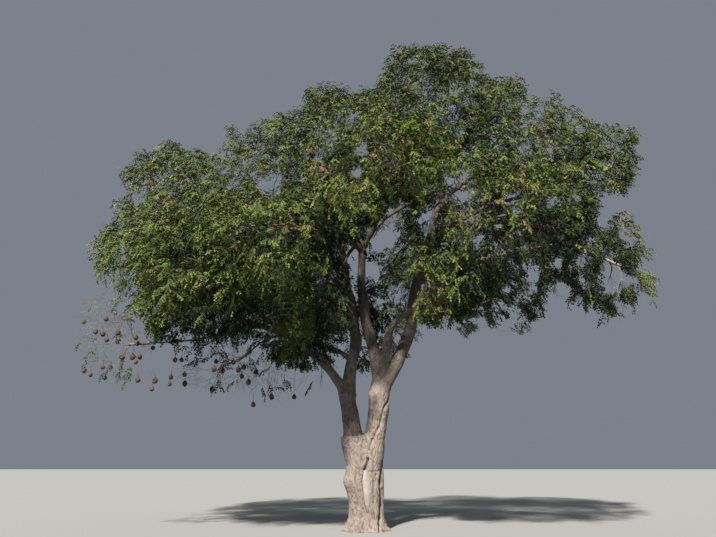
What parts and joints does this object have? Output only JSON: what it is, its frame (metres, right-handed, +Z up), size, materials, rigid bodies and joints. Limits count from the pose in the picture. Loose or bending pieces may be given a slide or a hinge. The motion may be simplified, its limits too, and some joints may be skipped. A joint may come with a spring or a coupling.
{
  "type": "tamarind tree",
  "caption": "Spreading tamarind tree: short forked trunk, curved boughs and a broad ragged crown of drooping sprays, with small hanging nests.",
  "frame": {"origin": "middle of the flat cut under the trunk, at ground level", "axes": "+Z up; +X to the right of someone in front of the tree, across the fork; +Y away from them"},
  "size_m": [14.4407, 9.7454, 12.3262],
  "materials": {
    "bark": "deeply fissured dry grey-tan bark, matte",
    "bough_bark": "finer, darker grey-brown bark, matte",
    "foliage": "sprays of small dull-green leaflets, slightly yellow in the sun",
    "foliage_shade": "the same sprays, a deeper green",
    "nest_straw": "woven dry grass and bare twigs, matte"
  },
  "bodies": {
    "root": {"trunk": "bark", "left_stem": "bark", "right_stem": "bark", "left_low_bough": "bough_bark", "left_leader": "bough_bark", "centre_stem": "bark", "right_leader": "bough_bark", "front_low_bough": "bough_bark", "front_top_bough": "bough_bark", "back_top_bough": "bough_bark", "front_left_bough": "bough_bark", "left_high_bough": "bough_bark", "left_shoulder_bough": "bough_bark", "left_inner_bough": "bough_bark", "left_tip_bough": "bough_bark", "front_far_left_bough": "bough_bark", "nest_far_bough": "bough_bark", "nest_near_bough": "bough_bark", "back_left_bough": "bough_bark", "back_low_left_bough": "bough_bark", "back_far_left_bough": "bough_bark", "right_low_bough": "bough_bark", "right_inner_bough": "bough_bark", "right_under_bough": "bough_bark", "right_shoulder_bough": "bough_bark", "top_right_bough": "bough_bark", "front_right_bough": "bough_bark", "front_far_right_bough": "bough_bark", "back_right_bough": "bough_bark", "back_low_right_bough": "bough_bark", "back_far_right_bough": "bough_bark", "top": "foliage", "top_left": "foliage", "top_right": "foliage", "left_high": "foliage", "left_shoulder": "foliage", "left_tip": "foliage", "left_low": "foliage", "left_inner": "foliage", "right_shoulder": "foliage", "right_tip": "foliage", "right_low": "foliage", "right_inner": "foliage", "front_top": "foliage", "front_left": "foliage", "front_right": "foliage", "front_low": "foliage", "front_far_left": "foliage", "front_far_right": "foliage", "back_top": "foliage_shade", "back_left": "foliage_shade", "back_right": "foliage_shade", "back_low_left": "foliage_shade", "back_low_right": "foliage_shade", "back_far_left": "foliage_shade", "back_far_right": "foliage_shade", "nest_twigs_far": "nest_straw", "nest_twigs_near": "nest_straw"}
  },
  "joints": []
}
